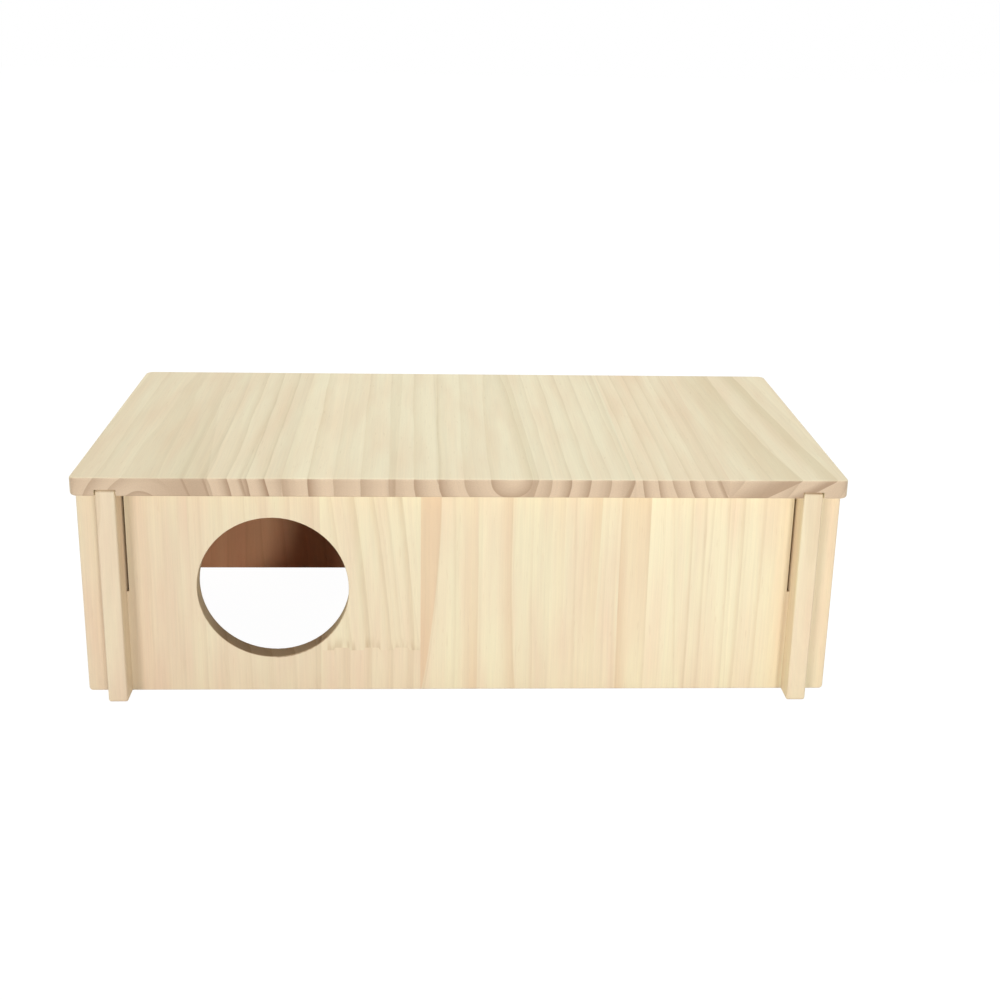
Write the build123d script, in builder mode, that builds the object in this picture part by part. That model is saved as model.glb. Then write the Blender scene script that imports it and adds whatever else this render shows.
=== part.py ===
"""A wooden hamster house: four pine boards that cross in halving joints, under a loose grooved lid.

The frame is in millimetres, with +Z up. The origin is on the floor, under the middle of the lid.
The front faces -Y and the length runs along X.
"""

import os

from build123d import *

# --- Driving dimensions -----------------------------------------------------------------------

# Overall
length = 300.0  # lid, front board and back board, left to right
depth = 150.0  # lid and side boards, front to back
height = 95.0  # floor to the top of the lid

# Board stock
lid_thickness = 7.5
wall_thickness = 7.5

# How far the boards pass each other at the four crossings
end_overhang = 10.0  # front and back boards, past the outer faces of the side boards
front_overhang = 10.0  # side boards, past the outer faces of the front and back boards

# Round entrance in the front board
entrance_diameter = 60.0
entrance_from_end = 75.0  # left end of the board to the middle of the entrance
entrance_height = 45.0  # floor to the middle of the entrance

# Side boards in the grooves of the lid
tongue_rise = 2.5  # how far the side boards stand above the front and back boards
groove_headroom = 0.2  # between the top of a side board and the bottom of its groove
groove_play = 0.35  # on each side of a side board

# Slots of the halving joints
slot_play = 0.9  # extra width of a slot, on the side of the chamber
crossing_gap = 0.3  # between the ends of the two slots that meet

# Eased edges and corners
lid_corner = 3.5  # corners of the lid, seen from above
lid_arris = 1.0
panel_corner = 1.5  # corners of a wall board, seen square to its face
panel_arris = 0.8
entrance_arris = 0.4

# --- Places worked out from them ----------------------------------------------------------------

wall_height = height - lid_thickness
side_panel_height = wall_height + tongue_rise
crossing_height = wall_height / 2  # a halving joint: each board gives up half

long_face_y = depth / 2 - front_overhang  # outer faces of the front and back boards
side_face_x = length / 2 - end_overhang  # outer faces of the side boards

slot_width = wall_thickness + slot_play
long_slot_x = side_face_x - slot_width / 2  # middle of a slot in the front and back boards
side_slot_y = long_face_y - slot_width / 2  # middle of a slot in the side boards

groove_x = side_face_x - wall_thickness / 2  # middle of a side board, and of its groove
groove_width = wall_thickness + 2 * groove_play
groove_depth = tongue_rise + groove_headroom

entrance_x = entrance_from_end - length / 2

os.makedirs("parts", exist_ok=True)


def write(piece, label):
    """Names a finished piece and writes its STEP file."""
    piece.part.label = label
    export_step(piece.part, f"parts/{label}.step")


# --- Lid ----------------------------------------------------------------------------------------

with BuildPart() as lid:
    with BuildSketch(Plane.XY.offset(wall_height)):
        RectangleRounded(length, depth, lid_corner)
    extrude(amount=lid_thickness)
    fillet(lid.faces().filter_by(Axis.Z).edges(), lid_arris)
    with BuildSketch(Plane.XY.offset(wall_height)):
        with Locations((-groove_x, 0), (groove_x, 0)):
            Rectangle(groove_width, depth)
    extrude(amount=groove_depth, mode=Mode.SUBTRACT)

write(lid, "lid")

# --- Front and back boards ------------------------------------------------------------------------


def long_panel(outer_face, inward):
    """A board along X, slotted from its top edge to take both side boards."""
    with BuildPart() as panel:
        with BuildSketch(outer_face):
            with Locations((0, wall_height / 2)):
                RectangleRounded(length, wall_height, panel_corner)
        extrude(amount=inward * wall_thickness)
        fillet(panel.faces().filter_by(Axis.Y).edges(), panel_arris)
        with BuildSketch(outer_face):
            with Locations((-long_slot_x, wall_height), (long_slot_x, wall_height)):
                Rectangle(slot_width, wall_height - crossing_height, align=(Align.CENTER, Align.MAX))
        extrude(amount=inward * wall_thickness, mode=Mode.SUBTRACT)
    return panel


front_face = Plane.XZ.offset(long_face_y)
back_face = Plane.XZ.offset(-long_face_y)

with BuildPart() as front_panel:
    add(long_panel(front_face, inward=-1).part)
    with BuildSketch(front_face):
        with Locations((entrance_x, entrance_height)):
            Circle(entrance_diameter / 2)
    extrude(amount=-wall_thickness, mode=Mode.SUBTRACT)
    fillet(front_panel.edges().filter_by(GeomType.CIRCLE).sort_by(SortBy.RADIUS)[-2:], entrance_arris)

write(front_panel, "front_panel")

back_panel = long_panel(back_face, inward=1)
write(back_panel, "back_panel")

# --- Side boards ----------------------------------------------------------------------------------


def side_panel(outer_face, inward):
    """A board along Y, slotted from its bottom edge to drop over the front and back boards."""
    with BuildPart() as panel:
        with BuildSketch(outer_face):
            with Locations((0, side_panel_height / 2)):
                RectangleRounded(depth, side_panel_height, panel_corner)
        extrude(amount=inward * wall_thickness)
        fillet(panel.faces().filter_by(Axis.X).edges(), panel_arris)
        with BuildSketch(outer_face):
            with Locations((-side_slot_y, 0), (side_slot_y, 0)):
                Rectangle(slot_width, crossing_height + crossing_gap, align=(Align.CENTER, Align.MIN))
        extrude(amount=inward * wall_thickness, mode=Mode.SUBTRACT)
    return panel


left_side_panel = side_panel(Plane.YZ.offset(-side_face_x), inward=1)
write(left_side_panel, "left_side_panel")

right_side_panel = side_panel(Plane.YZ.offset(side_face_x), inward=-1)
write(right_side_panel, "right_side_panel")
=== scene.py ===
"""Looks of the wooden hamster house: bare sanded pine on four slotted wall boards and a loose lid.

Every board is edge-glued from timbers, each cut from its own place in a log. A board's material works out
the growth rings round each timber's pith in three dimensions, so the end grain on an edge runs on into the
lines of the face. Board patterns are in millimetres, everything else is in metres.
"""

import math
from collections import namedtuple

import bpy
from mathutils import Euler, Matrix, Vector


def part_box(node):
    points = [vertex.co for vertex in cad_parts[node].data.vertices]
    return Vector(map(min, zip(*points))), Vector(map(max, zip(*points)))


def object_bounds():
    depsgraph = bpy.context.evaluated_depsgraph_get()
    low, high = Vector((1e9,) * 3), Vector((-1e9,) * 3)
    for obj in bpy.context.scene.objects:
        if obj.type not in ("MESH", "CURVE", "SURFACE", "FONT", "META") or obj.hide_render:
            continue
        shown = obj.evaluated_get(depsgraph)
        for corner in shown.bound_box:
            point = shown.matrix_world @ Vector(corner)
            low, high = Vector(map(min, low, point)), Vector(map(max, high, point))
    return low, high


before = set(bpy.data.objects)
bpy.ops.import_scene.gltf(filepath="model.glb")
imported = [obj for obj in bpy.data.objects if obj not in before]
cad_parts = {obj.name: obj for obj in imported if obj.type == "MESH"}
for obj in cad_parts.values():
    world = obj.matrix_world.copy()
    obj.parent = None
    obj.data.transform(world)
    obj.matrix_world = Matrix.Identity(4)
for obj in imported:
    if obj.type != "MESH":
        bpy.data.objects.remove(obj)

CAD_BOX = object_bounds()
MM_PER_METRE = 1000.0
RIGHT = Vector((1, 0, 0))
BACK = Vector((0, 1, 0))
UP = Vector((0, 0, 1))

# --- Timbers of each board, in millimetres ------------------------------------------------------------
#
# start    where the timber begins, across the board from its middle
# pith     middle of the log, across the board and outwards from mid thickness
# ring     width of a growth ring
# line     where one ring ends on the outer face, across the board at the start of the grain
# lean     how far the pith moves across and outwards per millimetre along the grain
# skew     how much wider the rings are on the near side of the pith than on the far side
# shade    darker (-) or lighter (+) than the board
# pink     0 for straw yellow, 1 for rosy
# late     strength of the latewood
# joint    a finger joint: the timber replaces the one before it beyond this place along the grain
# figure   grain lines with a place of their own

Timber = namedtuple(
    "Timber", "start pith ring line lean skew shade pink late joint figure",
    defaults=(0.0, 0.0, 0.4, 1.0, None, ()),
)

# A grain line runs from foot to head, places across the board at the two ends of the grain, and bows
# sideways between them. It darkens over its soft width and ends sharply: to the right where soft is
# positive and to the left where it is negative. A narrow one is a grey line and a wide one a tan band.
# It is as strong as at_foot and at_head at its two ends, and tilt moves it across for each millimetre
# that the wood is cut further out.

GrainLine = namedtuple("GrainLine", "foot head bow soft at_foot at_head tilt", defaults=(0.0,))

LID_TIMBERS = (
    Timber(-150.0, (-124.0, -9.0), 7.00, -106.3, (0.006, -0.010), shade=-0.05, pink=0.45, late=0.8, figure=(
        GrainLine(-98.0, -112.0, 0.0, 34.0, 0.40, 0.00),
        GrainLine(-105.6, -107.1, 0.0, 2.4, 0.60, 0.00, tilt=-0.35),
        GrainLine(-98.0, -95.2, 0.0, 2.4, 0.60, 0.20, tilt=-0.30),
        GrainLine(-83.8, -80.5, 0.0, 2.4, 0.60, 0.00, tilt=-0.30),
    )),
    Timber(-69.4, (19.6, 3.8), 8.74, -9.6, (-0.017, 0.040), skew=0.135, pink=0.22, late=0.8, figure=(
        GrainLine(-26.4, -26.6, 0.0, 4.2, 0.50, 0.45),
        GrainLine(-8.8, -10.9, 0.3, -2.4, 0.50, 0.45, tilt=-0.39),
        GrainLine(27.8, 22.6, 0.4, 8.0, 0.45, 0.45, tilt=0.30),
        GrainLine(65.4, 63.9, -0.3, 3.6, 0.60, 0.70, tilt=0.33),
    )),
    Timber(66.2, (115.2, 10.0), 6.00, 81.2, (-0.015, 0.000), pink=0.60, late=0.6, figure=(
        GrainLine(101.6, 99.3, 0.4, 2.6, 0.55, 0.55, tilt=-0.50),
    )),
    Timber(103.0, (20.0, 60.0), 9.00, 150.0, (-0.065, 0.000), shade=-0.01, pink=0.45, late=0.3, figure=(
        GrainLine(124.4, 114.7, -3.3, 22.0, 0.55, 0.60, tilt=1.80),
        GrainLine(124.4, 114.7, -3.3, 7.0, 0.55, 0.60, tilt=1.80),
        GrainLine(138.5, 127.2, -0.8, 9.0, 0.60, 0.80, tilt=1.75),
    )),
)

FRONT_TIMBERS = (
    Timber(-150.0, (-226.0, 30.0), 6.10, -124.0, (0.010, 0.000), shade=-0.11, pink=0.70, late=0.4),
    Timber(-107.5, (-190.0, 22.0), 8.70, -84.0, (-0.010, 0.000), shade=-0.10, pink=0.50, late=0.5, figure=(
        GrainLine(-107.3, -107.3, 0.0, 1.8, 0.30, 0.55),
        GrainLine(-56.8, -55.4, 0.0, 2.4, 0.80, 0.35),
    )),
    Timber(-56.0, (-150.0, 35.0), 8.20, -29.0, (0.010, 0.000), shade=-0.07, pink=0.60, late=0.3, figure=(
        GrainLine(-45.0, -45.0, 0.0, 5.0, 0.60, 0.60),
        GrainLine(-36.1, -36.1, 0.0, 3.4, 0.80, 0.70),
        GrainLine(-27.3, -27.3, 0.0, 3.0, 0.95, 0.85),
        GrainLine(-19.0, -19.0, 0.0, 3.6, 0.85, 0.85),
    )),
    Timber(-56.0, (-150.0, 35.0), 9.00, -23.0, (-0.120, 0.000), shade=-0.07, pink=0.30, late=0.3,
           joint=19.0, figure=(
        GrainLine(-42.4, -52.4, 0.8, 3.0, 0.50, 0.45),
        GrainLine(-35.5, -43.5, 1.1, 4.0, 1.00, 1.00),
        GrainLine(-26.8, -35.7, 1.2, 3.2, 0.90, 0.90),
        GrainLine(-22.3, -30.4, 0.6, 2.4, 0.45, 0.60),
        GrainLine(-18.2, -24.1, 1.3, 3.2, 0.85, 1.00),
    )),
    Timber(-16.4, (-96.0, 30.0), 13.0, -14.2, (0.000, 0.000), shade=-0.05, pink=0.38, late=0.2, figure=(
        GrainLine(-16.2, -8.3, 1.8, 22.0, 1.00, 0.90),
        GrainLine(-15.0, -8.2, 1.8, 1.2, 0.90, 0.20),
        GrainLine(-2.6, -2.8, 0.4, 1.6, 0.50, 0.40),
        GrainLine(7.4, 5.9, 0.0, 10.0, 0.75, 0.30),
    )),
    Timber(6.6, (-64.0, 18.0), 13.5, 22.5, (0.000, 0.000), shade=-0.04, pink=0.30, late=0.25, figure=(
        GrainLine(22.4, 20.4, -1.0, 6.5, 0.60, 0.60),
        GrainLine(22.4, 20.4, -1.0, 1.6, 0.60, 0.60),
        GrainLine(29.4, 28.2, 0.0, 1.6, 0.80, 0.30),
        GrainLine(41.0, 41.0, 0.0, 7.0, 0.00, 0.40),
        GrainLine(46.6, 45.4, 0.0, 1.6, 0.60, 0.60),
    )),
    Timber(46.5, (-30.0, 20.0), 8.60, 58.0, (0.000, 0.000), shade=-0.03, pink=0.45, late=0.3, figure=(
        GrainLine(53.5, 55.2, 0.0, 8.0, 0.10, 0.75),
        GrainLine(62.4, 61.6, 0.0, 2.0, 0.50, 0.50),
    )),
    Timber(63.0, (-40.0, 30.0), 12.6, 76.0, (0.000, 0.000), pink=0.30, late=0.2, figure=(
        GrainLine(63.0, 62.4, 0.0, -3.4, 0.90, 0.60),
        GrainLine(62.8, 62.2, 0.0, -9.0, 0.55, 0.60),
        GrainLine(75.0, 74.2, 0.5, 24.0, 0.15, 0.75),
        GrainLine(74.9, 73.9, 0.5, 2.2, 0.60, 0.55),
    )),
    Timber(74.7, (-24.0, 34.0), 5.40, 92.0, (0.000, 0.000), pink=0.20, late=0.25, figure=(
        GrainLine(87.9, 83.7, 0.0, 1.5, 0.65, 0.45),
        GrainLine(91.7, 91.5, 0.3, 1.7, 0.90, 0.70),
        GrainLine(96.7, 97.0, 0.6, 1.7, 0.70, 0.80),
        GrainLine(98.2, 100.4, 0.0, 1.5, 0.20, 0.65),
        GrainLine(106.5, 106.3, 0.4, 1.9, 0.80, 0.80),
        GrainLine(111.7, 112.2, 0.5, 2.4, 0.95, 0.95),
        GrainLine(119.6, 120.8, 0.0, 1.9, 0.70, 0.55),
        GrainLine(131.6, 131.4, 0.0, 8.0, 0.40, 0.30),
    )),
    # painted light: this timber is made lighter (shade 0.05) to cancel the shadow that the right side board
    # casts beside it; its tan band darkens the board's end again
    Timber(142.8, (70.0, 28.0), 7.00, 156.0, (0.000, 0.000), shade=0.05, pink=0.25, late=0.2, figure=(
        GrainLine(152.0, 152.0, 0.0, 9.0, 0.60, 0.60),
    )),
)

BACK_TIMBERS = (
    Timber(-150.0, (-60.0, 26.0), 7.30, -131.0, (0.020, 0.000), pink=0.40, late=0.9),
    Timber(-96.0, (-160.0, 34.0), 9.20, -70.0, (-0.060, 0.000), shade=0.01, pink=0.20, late=0.9),
    Timber(-40.0, (-14.0, 13.0), 8.10, -2.0, (0.050, -0.040), shade=-0.01, pink=0.60, late=1.1),
    Timber(22.0, (140.0, 28.0), 7.80, 47.0, (0.030, 0.000), shade=0.02, pink=0.25, late=0.8),
    Timber(22.0, (-50.0, 30.0), 8.80, 39.0, (-0.020, 0.000), pink=0.50, late=0.9, joint=54.0),
    Timber(83.0, (180.0, 44.0), 6.60, 108.0, (-0.030, 0.000), shade=-0.02, pink=0.70),
)

LEFT_TIMBERS = (
    Timber(-75.0, (-140.0, 24.0), 7.60, -61.0, (0.030, 0.000), shade=-0.10, pink=0.70, late=0.7),
    Timber(-38.0, (4.0, 12.0), 8.20, 14.0, (-0.040, 0.050), shade=-0.04, pink=0.30),
    Timber(31.0, (120.0, 30.0), 7.00, 52.0, (0.020, 0.000), shade=-0.01, pink=0.55, late=0.9),
)

RIGHT_TIMBERS = (
    Timber(-75.0, (-88.0, 1.0), 4.20, -78.6, (0.050, 0.010), shade=-0.01, pink=0.25, late=0.4, figure=(
        GrainLine(-70.0, -67.0, 0.0, 9.0, 0.00, 0.70, tilt=-3.0),
        GrainLine(-63.0, -63.0, 0.0, 30.0, 0.20, 0.60, tilt=-3.0),
    )),
    Timber(-29.0, (-104.0, 28.0), 7.40, 6.0, (0.050, 0.000), shade=0.01, pink=0.20, late=0.9),
    Timber(36.0, (66.0, 10.0), 7.80, 58.0, (0.020, -0.030), shade=-0.01, pink=0.60),
)

FINGER_PITCH = 12.0
FINGER_LENGTH = 1.2
FINGER_SIDE = (2.52, 3.48)  # where a finger's side begins and ends, from the middle of the gap beside it
STAIN_LENGTH = 6.0  # of the dark dashes that a finger joint leaves at the foot of the timber above it
STAIN_STRENGTH = 1.6  # next to 1 for a full grain line
STAIN_LEVEL = (0.42, 0.60)  # levels of the noise between which a dash darkens
NO_JOINT = -1000.0  # far below the board, for a timber that runs its full length

# --- Grain --------------------------------------------------------------------------------------------
#
# Lengths are in millimetres. A size is that of a noise's features across the board, outwards and along it.

SWAYS = (  # the grain's swings out of its straight run, each with its size and its reach
    ((38.0, 38.0, 170.0), 3.6),
    ((12.0, 12.0, 42.0), 1.5),
    ((4.0, 4.0, 12.0), 0.25),
)
FIGURE_SWAY = 0.45  # share of the sway that the grain lines with a place of their own follow
SWAY_SHIFT = (3.7, 5.3, 41.0)  # how far a timber's seed moves the noise of its sway
FIBRE_SHIFT = (11.0, 7.0, 29.0)  # and that of its fibres

RING_STRENGTH = (0.40, 1.00)  # of the weakest and the strongest ring
EARLY_SHARE = (0.05, 0.35)  # share of a ring's width that stays early wood, in those two rings
LATEWOOD_CURVE = 1.5  # power by which the latewood gathers towards the end of a ring
RING_LINE = (0.78, 0.95)  # shares of the width between which a ring's line darkens
RING_CLOSE = (0.955, 1.0)  # and between which the ring ends
STRIPES_PER_RING = 7.0
STRIPE_DRIFT = 0.006  # how fast the stripes change along the grain

LINE_PEAK = -0.15  # a grain line reaches its full strength here, as a share of its soft width
LINE_CLOSE = (-0.15, 0.35)  # and ends between these two places across the board
BAND_WIDTH = (4.0, 8.0)  # a soft width up to the first makes a line, one from the second on a band

CLOUD_SIZE = (8.0, 8.0, 60.0)
FIBRE_SIZE = (0.55, 0.55, 26.0)
BREAK_SIZE = (2.5, 2.5, 14.0)
CANAL_SIZE = (0.50, 0.50, 6.0)
PORE_SIZE = (0.35, 0.35, 2.5)
CANAL_LEVEL = (0.74, 0.84)  # levels of the noise between which a resin canal darkens

END_FACING = (0.35, 0.80)  # how far a surface faces along the grain, from face grain to end grain
SAWN_FACING = (0.5, 0.8)  # how far it faces outwards, from a sawn wall to the face of the board
SAWN_INSET = (1.6, 2.2)  # how far it lies inside the board's outline, from edge to sawn wall
CHAMBER_EDGE = (-0.0003, -0.0001)  # room left to the chamber's corner, in metres, from outside to inside

# --- Colours of the wood ------------------------------------------------------------------------------
#
# A palette holds display colours, from 0 to 255. Face grain lies between straw and rosy, with late for
# its bands and line for its lines. End grain goes from end_early to end_late within each ring.

Palette = namedtuple("Palette", "straw rosy late line end_early end_late")

WALL_PALETTE = Palette(
    straw=(247, 235, 200), rosy=(242, 216, 186), late=(230, 192, 152), line=(211, 184, 146),
    end_early=(218, 194, 162), end_late=(176, 142, 110),
)
LID_PALETTE = Palette(
    straw=(244, 234, 201), rosy=(239, 219, 185), late=(207, 190, 148), line=(200, 181, 142),
    end_early=(223, 198, 168), end_late=(152, 117, 88),
)
CHAMBER_PAINTED_SHADE = (0.86, 0.53, 0.40, 1.0)  # painted shade: makes the wood inside the chamber darker and redder, standing in for the shade and warm bounce light there
SAWN_TONE = (0.97, 0.93, 0.84, 1.0)  # by which the sawn walls of the entrance and the slots are darker

CLOUD_SWING = 1.8  # how far the cloudy bands swing between straw and rosy
BAND_DEPTH = 0.55  # share of the late colour in a full band
LINE_DEPTH = 0.30  # share of the line colour in a full grain line
LATEWOOD_DEPTH = 0.30  # in full latewood
RING_LINE_DEPTH = 0.12  # in a full ring line
CANAL_DEPTH = 0.16  # and in a resin canal
BREAK_SWING = 0.8  # how far the strength of the lines swings along the grain
PORE_SWING = 0.30  # how far the brightness swings with the pores of end grain
FIBRE_SWING = 0.12  # with the fibres
STRIPE_SWING = 0.11  # with the stripes of a ring
RING_SWING = 0.03  # and from ring to ring

SANDED_ROUGHNESS = (0.52, 0.72)
SAWN_ROUGHNESS = 0.95
WOOD_SPECULAR = 0.4
RELIEF_HEIGHT = 0.00006  # of the fibres, in metres
RING_RELIEF = 0.8  # of a ring line, next to 1 for the fibres
PORE_RELIEF = 1.5


def linear(colour):
    """An 8-bit display colour as the linear colour of a shader socket."""
    parts = [c / 255 for c in colour]
    return tuple(c / 12.92 if c <= 0.04045 else ((c + 0.055) / 1.055) ** 2.4 for c in parts) + (1.0,)


# --- Nodes --------------------------------------------------------------------------------------------


class Graph:
    """Adds nodes to a tree and links them. Any argument may be a socket or a plain value."""

    def __init__(self, tree):
        self.tree = tree

    def node(self, kind, **settings):
        node = self.tree.nodes.new(kind)
        for name, value in settings.items():
            setattr(node, name, value)
        return node

    def feed(self, socket, value):
        if isinstance(value, bpy.types.NodeSocket):
            self.tree.links.new(value, socket)
        else:
            socket.default_value = value

    def math(self, operation, *values, clamp=False):
        node = self.node("ShaderNodeMath", operation=operation, use_clamp=clamp)
        for socket, value in zip(node.inputs, values):
            self.feed(socket, value)
        return node.outputs["Value"]

    def vector(self, operation, *values):
        node = self.node("ShaderNodeVectorMath", operation=operation)
        for socket, value in zip(node.inputs, values):
            self.feed(socket, value)
        return node.outputs["Value" if operation in ("DOT_PRODUCT", "LENGTH") else "Vector"]

    def split(self, vector):
        node = self.node("ShaderNodeSeparateXYZ")
        self.feed(node.inputs["Vector"], vector)
        return node.outputs["X"], node.outputs["Y"], node.outputs["Z"]

    def join(self, *parts):
        node = self.node("ShaderNodeCombineXYZ")
        for socket, value in zip(node.inputs, parts):
            self.feed(socket, value)
        return node.outputs["Vector"]

    def mix(self, kind, factor, a, b, blend="MIX"):
        """kind is FLOAT, VECTOR or RGBA."""
        node = self.node("ShaderNodeMix", data_type=kind, blend_type=blend)
        ending = {"FLOAT": "Float", "VECTOR": "Vector", "RGBA": "Color"}[kind]
        for name, value in (("Factor_Float", factor), ("A_" + ending, a), ("B_" + ending, b)):
            self.feed(next(s for s in node.inputs if s.identifier == name), value)
        return next(s for s in node.outputs if s.identifier == "Result_" + ending)

    def dim(self, colour, share):
        """The colour with all its parts times share."""
        return self.mix("RGBA", 1.0, colour, self.join(share, share, share), blend="MULTIPLY")

    def ramp(self, value, start, end, low=0.0, high=1.0):
        """Low up to start, high from end on, and a smooth step between them."""
        node = self.node("ShaderNodeMapRange", interpolation_type="SMOOTHSTEP")
        names = ("Value", "From Min", "From Max", "To Min", "To Max")
        for name, given in zip(names, (value, start, end, low, high)):
            self.feed(node.inputs[name], given)
        return node.outputs["Result"]

    def between(self, value, low, high):
        """low where value is 0 and high where it is 1."""
        return self.math("MULTIPLY_ADD", value, high - low, low)

    def swing(self, value, amount, middle):
        """middle, moved up and down by value, which goes from 0 to 1, by half of amount either way."""
        return self.math("MULTIPLY_ADD", self.math("SUBTRACT", value, 0.5), amount, middle)

    def noise(self, point, size, detail=2.0, roughness=0.5):
        """Noise whose features have about the given size along each axis: its value and its colour."""
        node = self.node("ShaderNodeTexNoise")
        self.feed(node.inputs["Vector"], self.vector("DIVIDE", point, size))
        self.feed(node.inputs["Scale"], 1.0)
        self.feed(node.inputs["Detail"], detail)
        self.feed(node.inputs["Roughness"], roughness)
        return node.outputs[0], node.outputs[1]

    def group(self, tree, **given):
        node = self.node("ShaderNodeGroup", node_tree=tree)
        for name, value in given.items():
            self.feed(node.inputs[name.replace("_", " ").capitalize()], value)
        return node.outputs


def new_group(name, inputs, outputs):
    """A shader node group: its tree, a Graph on it, and its named input and output sockets."""
    tree = bpy.data.node_groups.new(name, "ShaderNodeTree")
    for way, sockets in (("INPUT", inputs), ("OUTPUT", outputs)):
        for kind, names in sockets.items():
            for socket in names.split(", "):
                tree.interface.new_socket(socket, in_out=way, socket_type="NodeSocket" + kind)
    given = tree.nodes.new("NodeGroupInput").outputs
    out = tree.nodes.new("NodeGroupOutput").inputs
    return tree, Graph(tree), given, out


def grain_sway_group():
    """How far the grain sways from its straight run at a point, given across, outwards and along."""
    tree, g, given, out = new_group("grain_sway", {"Vector": "Point, Seed"}, {"Vector": "Sway"})
    own_point = g.vector("ADD", given["Point"], g.vector("MULTIPLY", given["Seed"], SWAY_SHIFT))
    total = (0.0, 0.0, 0.0)
    for size, reach in SWAYS:
        sway = g.vector("SUBTRACT", g.noise(own_point, size, detail=1.0)[1], (0.5, 0.5, 0.5))
        total = g.vector("ADD", total, g.vector("MULTIPLY", sway, (reach, reach, 0.0)))
    g.feed(out["Sway"], total)
    return tree


def growth_rings_group():
    """Rings round a timber's pith, each with an early part, a darkening late part and a sharp end.

    The third part of Pith is the width of a ring, and that of Lean is what first_ring gives.
    """
    tree, g, given, out = new_group(
        "growth_rings",
        {"Vector": "Point, Pith, Lean", "Float": "Skew"},
        {"Float": "Latewood, Ring line, Ring tone, Stripe"},
    )
    pith_across, pith_out, ring_width = g.split(given["Pith"])
    lean_across, lean_out, first_ring = g.split(given["Lean"])
    across, outward, along = g.split(given["Point"])
    across = g.math("SUBTRACT", across, g.math("MULTIPLY_ADD", lean_across, along, pith_across))
    outward = g.math("SUBTRACT", outward, g.math("MULTIPLY_ADD", lean_out, along, pith_out))
    reach = g.math("MULTIPLY_ADD", given["Skew"], across, g.vector("LENGTH", g.join(across, outward, 0.0)))
    rings = g.math("ADD", g.math("DIVIDE", reach, ring_width), first_ring)
    age = g.math("FRACT", rings)

    year = g.node("ShaderNodeTexWhiteNoise", noise_dimensions="2D")
    g.feed(year.inputs["Vector"], g.join(g.math("FLOOR", rings), pith_across, 0.0))
    chance = year.outputs["Value"]
    strength = g.math("MULTIPLY", g.between(chance, *RING_STRENGTH), g.ramp(age, *RING_CLOSE, 1.0, 0.0))
    early = g.between(chance, *EARLY_SHARE)
    late_width = g.math("SUBTRACT", RING_LINE[1], early)
    growth = g.math("DIVIDE", g.math("SUBTRACT", age, early), late_width, clamp=True)
    g.feed(out["Latewood"], g.math("MULTIPLY", g.math("POWER", growth, LATEWOOD_CURVE), strength))
    g.feed(out["Ring line"], g.math("MULTIPLY", g.ramp(age, *RING_LINE), strength))
    g.feed(out["Ring tone"], chance)

    drift = g.math("MULTIPLY", along, STRIPE_DRIFT)
    stripe_point = g.join(g.math("MULTIPLY", rings, STRIPES_PER_RING), drift, pith_out)
    g.feed(out["Stripe"], g.noise(stripe_point, (1.0, 1.0, 1.0), detail=3.0, roughness=0.6)[0])
    return tree


def grain_line_group():
    """One GrainLine on a board of the given length, as a grey line or a tan band by its soft width."""
    tree, g, given, out = new_group(
        "grain_line",
        {"Vector": "Point", "Float": "Foot, Head, Bow, Soft, At foot, At head, Tilt, Length"},
        {"Float": "Line, Band"},
    )
    across, outward, along = g.split(given["Point"])
    way = g.math("DIVIDE", along, given["Length"])
    arch = g.math("MULTIPLY", g.math("MULTIPLY", way, g.math("SUBTRACT", 1.0, way)), 4.0)
    middle = g.math("MULTIPLY_ADD", given["Bow"], arch, g.mix("FLOAT", way, given["Foot"], given["Head"]))
    middle = g.math("MULTIPLY_ADD", given["Tilt"], outward, middle)
    past = g.math("MULTIPLY", g.math("SUBTRACT", across, middle), g.math("SIGN", given["Soft"]))
    width = g.math("ABSOLUTE", given["Soft"])
    before = g.ramp(past, g.math("MULTIPLY", width, -1.0), g.math("MULTIPLY", width, LINE_PEAK))
    after = g.ramp(past, *LINE_CLOSE, 1.0, 0.0)
    strength = g.mix("FLOAT", way, given["At foot"], given["At head"])
    drawn = g.math("MULTIPLY", g.math("MULTIPLY", before, after), strength)
    wide = g.ramp(width, *BAND_WIDTH)
    g.feed(out["Band"], g.math("MULTIPLY", drawn, wide))
    g.feed(out["Line"], g.math("MULTIPLY", drawn, g.math("SUBTRACT", 1.0, wide)))
    return tree


def pine_fibre_group():
    """What the rings don't rule: cloudy bands, fibres, resin canals, and where the lines break."""
    tree, g, given, out = new_group(
        "pine_fibre",
        {"Vector": "Point, Seed"},
        {"Float": "Cloud, Fibre, Canal, Break"},
    )
    point = g.vector("ADD", given["Point"], g.vector("MULTIPLY", given["Seed"], FIBRE_SHIFT))
    g.feed(out["Cloud"], g.noise(point, CLOUD_SIZE, detail=2.0)[0])
    g.feed(out["Fibre"], g.noise(point, FIBRE_SIZE, detail=3.0, roughness=0.65)[0])
    g.feed(out["Break"], g.noise(point, BREAK_SIZE, detail=2.0)[0])
    g.feed(out["Canal"], g.ramp(g.noise(point, CANAL_SIZE, detail=0.0)[0], *CANAL_LEVEL))
    return tree


def end_grain_group():
    """How far a surface lies across the grain, and the pores that show there."""
    tree, g, given, out = new_group(
        "end_grain",
        {"Vector": "Point, Normal, Grain"},
        {"Float": "Mask, Pores"},
    )
    facing = g.math("ABSOLUTE", g.vector("DOT_PRODUCT", given["Normal"], given["Grain"]))
    g.feed(out["Mask"], g.ramp(facing, *END_FACING))
    g.feed(out["Pores"], g.noise(given["Point"], PORE_SIZE, detail=2.0, roughness=0.7)[0])
    return tree


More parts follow.
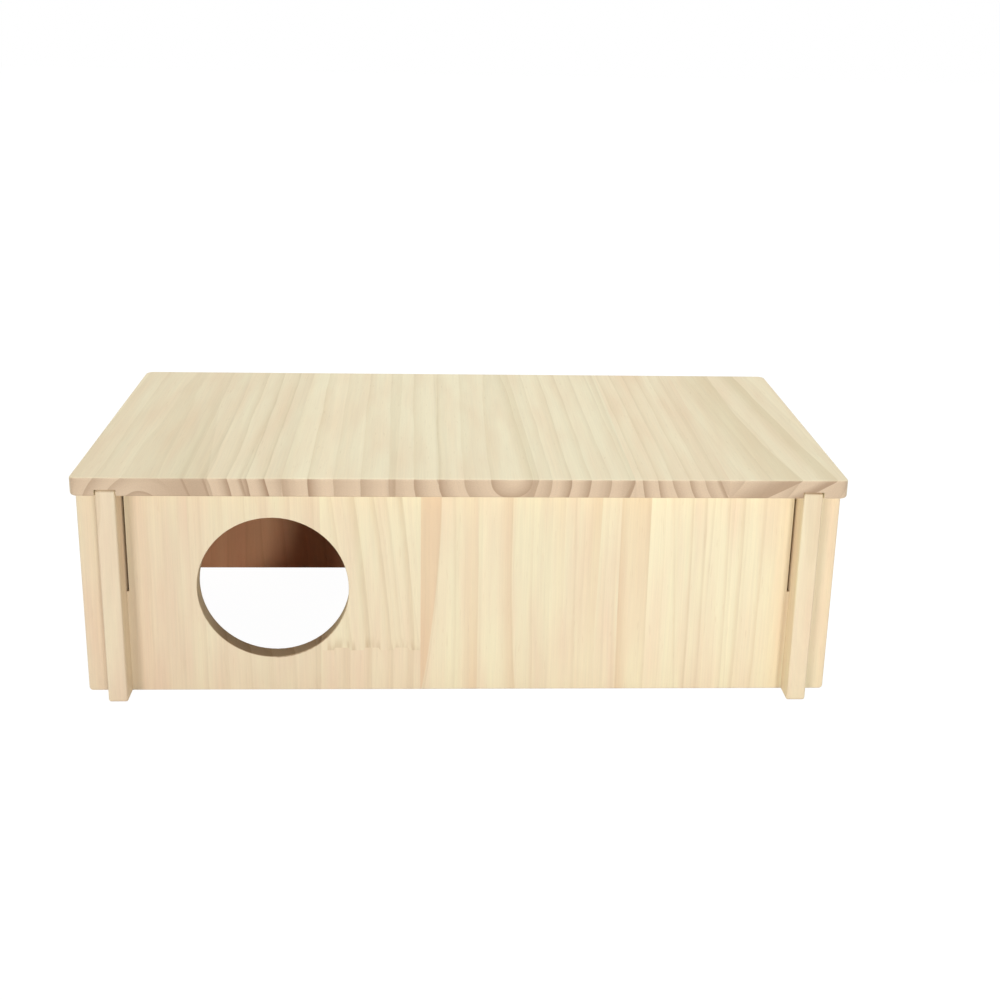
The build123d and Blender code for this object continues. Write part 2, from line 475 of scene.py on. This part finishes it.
def chamber_group():
    """1 on the surfaces round the chamber, which reaches as far as Corner from the middle of the floor."""
    tree, g, given, out = new_group("chamber", {"Vector": "Position, Corner"}, {"Float": "Mask"})
    inset = g.vector("SUBTRACT", given["Corner"], g.vector("ABSOLUTE", given["Position"]))
    mask = 1.0
    for room in g.split(inset):
        mask = g.math("MULTIPLY", mask, g.ramp(room, *CHAMBER_EDGE))
    g.feed(out["Mask"], mask)
    return tree


def sawn_group():
    """1 on the walls of holes and slots, which don't face outwards and lie inside the board's outline."""
    tree, g, given, out = new_group("sawn", {"Vector": "Point, Normal, Outward, Size"}, {"Float": "Mask"})
    facing = g.math("ABSOLUTE", g.vector("DOT_PRODUCT", given["Normal"], given["Outward"]))
    across, _, along = g.split(given["Point"])
    width, _, length = g.split(given["Size"])
    from_side = g.math("SUBTRACT", g.math("MULTIPLY", width, 0.5), g.math("ABSOLUTE", across))
    from_end = g.math("MINIMUM", along, g.math("SUBTRACT", length, along))
    inside = g.ramp(g.math("MINIMUM", from_side, from_end), *SAWN_INSET)
    g.feed(out["Mask"], g.math("MULTIPLY", g.ramp(facing, *SAWN_FACING, 1.0, 0.0), inside))
    return tree


GRAIN_SWAY = grain_sway_group()
GROWTH_RINGS = growth_rings_group()
GRAIN_LINE = grain_line_group()
PINE_FIBRE = pine_fibre_group()
END_GRAIN = end_grain_group()
CHAMBER = chamber_group()
SAWN = sawn_group()

# --- Boards -------------------------------------------------------------------------------------------


def first_ring(timber, outer_face):
    """The ring count to add so that a ring ends on the timber's line."""
    aside = timber.line - timber.pith[0]
    reach = math.hypot(aside, outer_face - timber.pith[1]) + timber.skew * aside
    return -reach / timber.ring % 1.0


def finger_height(g, point):
    """The place along the grain, raised where a finger points down, so that a joint lies at one height."""
    across, _, along = g.split(point)
    wave = g.math("PINGPONG", across, FINGER_PITCH / 2)
    return g.math("ADD", along, g.ramp(wave, *FINGER_SIDE, 0.0, FINGER_LENGTH))


def timber_masks(g, point, finger, timbers):
    """For each timber but the first, 1 where the board is of that timber or of one after it."""
    across = g.split(point)[0]
    masks = []
    for timber in timbers[1:]:
        inside = g.math("GREATER_THAN", across, timber.start)
        if timber.joint is not None:
            inside = g.math("MULTIPLY", inside, g.math("GREATER_THAN", finger, timber.joint))
        masks.append(inside)
    return masks


def pick(g, masks, kind, values):
    """The value of the timber that a place lies in."""
    chosen, *others = values
    for mask, value in zip(masks, others):
        chosen = g.mix(kind, mask, chosen, value)
    return chosen


def figure_of(g, timber, point, length):
    """The timber's own grain lines together: lines and bands, as the first two parts of a vector."""
    lines, bands = 0.0, 0.0
    for line in timber.figure:
        drawn = g.group(GRAIN_LINE, point=point, length=length, **line._asdict())
        lines = g.math("MAXIMUM", lines, drawn["Line"])
        bands = g.math("MAXIMUM", bands, drawn["Band"])
    return g.join(lines, bands, 0.0)


def joint_stain(g, finger, joint, fibre):
    """Strength of the dark dashes above a finger joint."""
    strength = g.ramp(g.math("SUBTRACT", finger, joint), 0.0, STAIN_LENGTH, STAIN_STRENGTH, 0.0)
    return g.math("MULTIPLY", strength, g.ramp(fibre["Break"], *STAIN_LEVEL))


def face_colour(g, palette, rings, fibre, pink, late, lines, bands):
    """Wood cut along the grain: straw or rosy, under tan bands, grey lines and the rings' latewood."""
    cloud = g.math("SUBTRACT", fibre["Cloud"], 0.5)
    rosiness = g.math("MULTIPLY_ADD", cloud, CLOUD_SWING, pink, clamp=True)
    face = g.mix("RGBA", rosiness, linear(palette.straw), linear(palette.rosy))
    face = g.mix("RGBA", g.math("MULTIPLY", bands, BAND_DEPTH, clamp=True), face, linear(palette.late))
    ring_lines = g.math("MULTIPLY", rings["Ring line"], RING_LINE_DEPTH)
    ring_share = g.math("MULTIPLY_ADD", rings["Latewood"], LATEWOOD_DEPTH, ring_lines)
    grey = g.math("MULTIPLY_ADD", lines, LINE_DEPTH, g.math("MULTIPLY", ring_share, late))
    broken = g.swing(fibre["Break"], BREAK_SWING, 1.0)
    return g.mix("RGBA", g.math("MULTIPLY", grey, broken, clamp=True), face, linear(palette.line))


def section_colour(g, palette, rings, end, late, lines, bands):
    """Wood cut across the grain, where latewood, lines and bands are all dark rings."""
    latewood = g.math("MULTIPLY", rings["Latewood"], late, clamp=True)
    latewood = g.math("MAXIMUM", latewood, g.math("MAXIMUM", lines, bands))
    section = g.mix("RGBA", latewood, linear(palette.end_early), linear(palette.end_late))
    return g.dim(section, g.swing(end["Pores"], PORE_SWING, 1.0))


def brightness(g, rings, fibre, shade):
    """The timber's own shade, with small differences from fibre to fibre and from ring to ring."""
    bright = g.math("ADD", shade, 1.0)
    for value, amount in (
        (fibre["Fibre"], FIBRE_SWING),
        (rings["Stripe"], STRIPE_SWING),
        (rings["Ring tone"], RING_SWING),
    ):
        bright = g.swing(value, amount, bright)
    return bright


def board_material(node, axes, timbers, palette):
    """Sanded pine for one board, edge-glued from its timbers. The axes go across, outwards and along."""
    _, outward, grain = axes
    low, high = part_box(node)
    size = [abs((high - low).dot(axis)) * MM_PER_METRE for axis in axes]
    start = (low + high) / 2 - grain * (size[2] / MM_PER_METRE / 2)

    material = bpy.data.materials.new("pine_" + node)
    material.use_nodes = True
    g = Graph(material.node_tree)
    shader = material.node_tree.nodes["Principled BSDF"]
    place = g.node("ShaderNodeTexCoord")
    normal = place.outputs["Normal"]

    offset = g.vector("SUBTRACT", place.outputs["Object"], tuple(start))
    point = g.join(*(g.vector("DOT_PRODUCT", offset, tuple(axis * MM_PER_METRE)) for axis in axes))
    finger = finger_height(g, point)
    masks = timber_masks(g, point, finger, timbers)
    pith = pick(g, masks, "VECTOR", [(*t.pith, t.ring) for t in timbers])
    lean = pick(g, masks, "VECTOR", [(*t.lean, first_ring(t, size[1] / 2)) for t in timbers])
    look = pick(g, masks, "VECTOR", [(t.shade, t.pink, t.late) for t in timbers])
    skew = pick(g, masks, "FLOAT", [t.skew for t in timbers])
    joint = pick(g, masks, "FLOAT", [NO_JOINT if t.joint is None else t.joint for t in timbers])
    shade, pink, late = g.split(look)

    sway = g.group(GRAIN_SWAY, point=point, seed=pith)["Sway"]
    rings = g.group(GROWTH_RINGS, point=g.vector("ADD", point, sway), pith=pith, lean=lean, skew=skew)
    fibre = g.group(PINE_FIBRE, point=point, seed=pith)
    end = g.group(END_GRAIN, point=point, normal=normal, grain=tuple(grain))
    drawn_point = g.vector("ADD", point, g.vector("MULTIPLY", sway, (FIGURE_SWAY, FIGURE_SWAY, 0.0)))
    figure = pick(g, masks, "VECTOR", [figure_of(g, t, drawn_point, size[2]) for t in timbers])
    lines, bands, _ = g.split(figure)

    lines = g.math("ADD", lines, joint_stain(g, finger, joint, fibre))

    face = face_colour(g, palette, rings, fibre, pink, late, lines, bands)
    section = section_colour(g, palette, rings, end, late, lines, bands)
    colour = g.mix("RGBA", end["Mask"], face, section)
    colour = g.dim(colour, brightness(g, rings, fibre, shade))
    colour = g.mix("RGBA", g.math("MULTIPLY", fibre["Canal"], CANAL_DEPTH), colour, linear(palette.line))

    # Painted shade inside the chamber; the sawn walls darker in their own tone; both rougher
    chamber = g.group(CHAMBER, position=place.outputs["Object"], corner=CHAMBER_CORNER)
    # painted shade: the chamber's walls are darkened and reddened for the dim light inside
    colour = g.mix("RGBA", chamber["Mask"], colour, CHAMBER_PAINTED_SHADE, blend="MULTIPLY")
    sawn = g.group(SAWN, point=point, normal=normal, outward=tuple(outward), size=tuple(size))
    colour = g.mix("RGBA", sawn["Mask"], colour, SAWN_TONE, blend="MULTIPLY")
    g.feed(shader.inputs["Base Color"], colour)

    sanded = g.between(fibre["Fibre"], *SANDED_ROUGHNESS)
    unsanded = g.math("MAXIMUM", chamber["Mask"], sawn["Mask"])
    g.feed(shader.inputs["Roughness"], g.mix("FLOAT", unsanded, sanded, SAWN_ROUGHNESS))
    shader.inputs["Specular IOR Level"].default_value = WOOD_SPECULAR

    open_pores = g.math("MULTIPLY", end["Mask"], end["Pores"])
    relief = g.math("MULTIPLY_ADD", rings["Ring line"], RING_RELIEF, fibre["Fibre"])
    relief = g.math("MULTIPLY_ADD", open_pores, PORE_RELIEF, relief)
    bump = g.node("ShaderNodeBump")
    bump.inputs["Distance"].default_value = RELIEF_HEIGHT
    g.feed(bump.inputs["Height"], relief)
    g.feed(shader.inputs["Normal"], bump.outputs["Normal"])
    return material


# The chamber ends at the inner faces of the boards and the underside of the lid.
CHAMBER_CORNER = (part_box("right_side_panel")[0].x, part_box("back_panel")[0].y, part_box("lid")[0].z)

for node, axes, timbers, palette in (
    ("lid", (RIGHT, UP, BACK), LID_TIMBERS, LID_PALETTE),
    ("front_panel", (RIGHT, -BACK, UP), FRONT_TIMBERS, WALL_PALETTE),
    ("back_panel", (RIGHT, BACK, UP), BACK_TIMBERS, WALL_PALETTE),
    ("left_side_panel", (BACK, -RIGHT, UP), LEFT_TIMBERS, WALL_PALETTE),
    ("right_side_panel", (BACK, RIGHT, UP), RIGHT_TIMBERS, WALL_PALETTE),
):
    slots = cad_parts[node].data.materials
    slots.clear()
    slots.append(board_material(node, axes, timbers, palette))

# --- Stage, light and camera --------------------------------------------------------------------------

FLOOR_SIZE = 8.0
FLOOR_SHADOW = 0.10  # share of the floor's brightness that a shadow can take away
FLOOR_PAPER = (0.84, 0.84, 0.84, 1.0)
FLOOR_GLOW = 1.09  # a little over white, because the paper's share is less bright
WORLD_LEVEL = 0.27
WHITE = (1.0, 1.0, 1.0, 1.0)

CAMERA_PLACE = (-0.01096, -0.5703, 0.2758)
CAMERA_PITCH = 16.711  # degrees down
CAMERA_YAW = 2.799  # degrees to the right
CAMERA_ROLL = 1.206  # degrees anticlockwise
SENSOR_WIDTH = 36.0  # millimetres
LENS_RATIO = 1.3751  # focal length over the sensor's width
LENS_SHIFT = -0.100  # of the view's middle, over its width


def add_object(name, data):
    """A new object, linked into the scene."""
    added = bpy.data.objects.new(name, data)
    bpy.context.scene.collection.objects.link(added)
    return added


def seen_directly(g):
    """1 for camera, mirror and glass rays, which see the white backdrop, and 0 for those that light."""
    path = g.node("ShaderNodeLightPath").outputs
    seen = g.math("MAXIMUM", path["Is Camera Ray"], path["Is Glossy Ray"])
    return g.math("MAXIMUM", seen, path["Is Transmission Ray"])


def make_floor():
    """A white floor that still takes the object's shadow."""
    half = FLOOR_SIZE / 2
    corners = [(-half, -half, 0), (half, -half, 0), (half, half, 0), (-half, half, 0)]
    mesh = bpy.data.meshes.new("floor")
    mesh.from_pydata(corners, [], [(0, 1, 2, 3)])

    material = bpy.data.materials.new("white_floor")
    material.use_nodes = True
    material.node_tree.nodes.clear()
    g = Graph(material.node_tree)
    paper = g.node("ShaderNodeBsdfDiffuse")
    paper.inputs["Color"].default_value = FLOOR_PAPER
    glow = g.node("ShaderNodeEmission")
    glow.inputs["Color"].default_value = WHITE
    glow.inputs["Strength"].default_value = FLOOR_GLOW
    mix = g.node("ShaderNodeMixShader")
    g.feed(mix.inputs["Fac"], g.math("MULTIPLY", seen_directly(g), 1 - FLOOR_SHADOW))
    g.feed(mix.inputs[1], paper.outputs[0])
    g.feed(mix.inputs[2], glow.outputs[0])
    g.feed(g.node("ShaderNodeOutputMaterial").inputs["Surface"], mix.outputs[0])
    mesh.materials.append(material)
    add_object("floor", mesh)


def light_world(level):
    """White behind the object, and an even light of the given level on it."""
    world = bpy.data.worlds.new("studio")
    bpy.context.scene.world = world
    world.use_nodes = True
    g = Graph(world.node_tree)
    background = world.node_tree.nodes["Background"]
    background.inputs["Color"].default_value = WHITE
    g.feed(background.inputs["Strength"], g.mix("FLOAT", seen_directly(g), level, 1.0))


def softbox(name, azimuth, elevation, distance, size, level):
    """A square lamp aimed at the object, which gives a white surface facing it that level of brightness."""
    lamp = bpy.data.lights.new(name, "AREA")
    lamp.shape = "SQUARE"
    lamp.size = size
    lamp.energy = level * (math.pi * distance) ** 2
    a, e = math.radians(azimuth), math.radians(elevation)
    aim = (CAD_BOX[0] + CAD_BOX[1]) / 2
    away = Vector((math.sin(a) * math.cos(e), -math.cos(a) * math.cos(e), math.sin(e)))
    holder = add_object(name, lamp)
    holder.location = aim + away * distance
    holder.rotation_euler = away.to_track_quat("Z", "Y").to_euler()


def make_camera():
    """The view from the front, over the lid and a little left of the middle."""
    camera = bpy.data.cameras.new("camera")
    camera.sensor_width = SENSOR_WIDTH
    camera.lens = SENSOR_WIDTH * LENS_RATIO
    camera.shift_y = LENS_SHIFT
    holder = add_object("camera", camera)
    holder.location = CAMERA_PLACE
    pitch, yaw, roll = (math.radians(angle) for angle in (CAMERA_PITCH, CAMERA_YAW, CAMERA_ROLL))
    turns = ((0, 0, -yaw), (math.pi / 2 - pitch, 0, 0), (0, 0, roll))
    heading, nod, tilt = (Euler(turn).to_matrix() for turn in turns)
    holder.rotation_euler = (heading @ nod @ tilt).to_euler()
    bpy.context.scene.camera = holder


make_floor()
light_world(WORLD_LEVEL)
softbox("left_lamp", azimuth=-27, elevation=14, distance=2.5, size=0.50, level=0.29)
softbox("right_lamp", azimuth=16, elevation=9, distance=2.5, size=0.30, level=0.26)
softbox("top_lamp", azimuth=185, elevation=83, distance=1.2, size=0.8, level=0.57)
make_camera()

bpy.context.scene.view_settings.view_transform = "Standard"
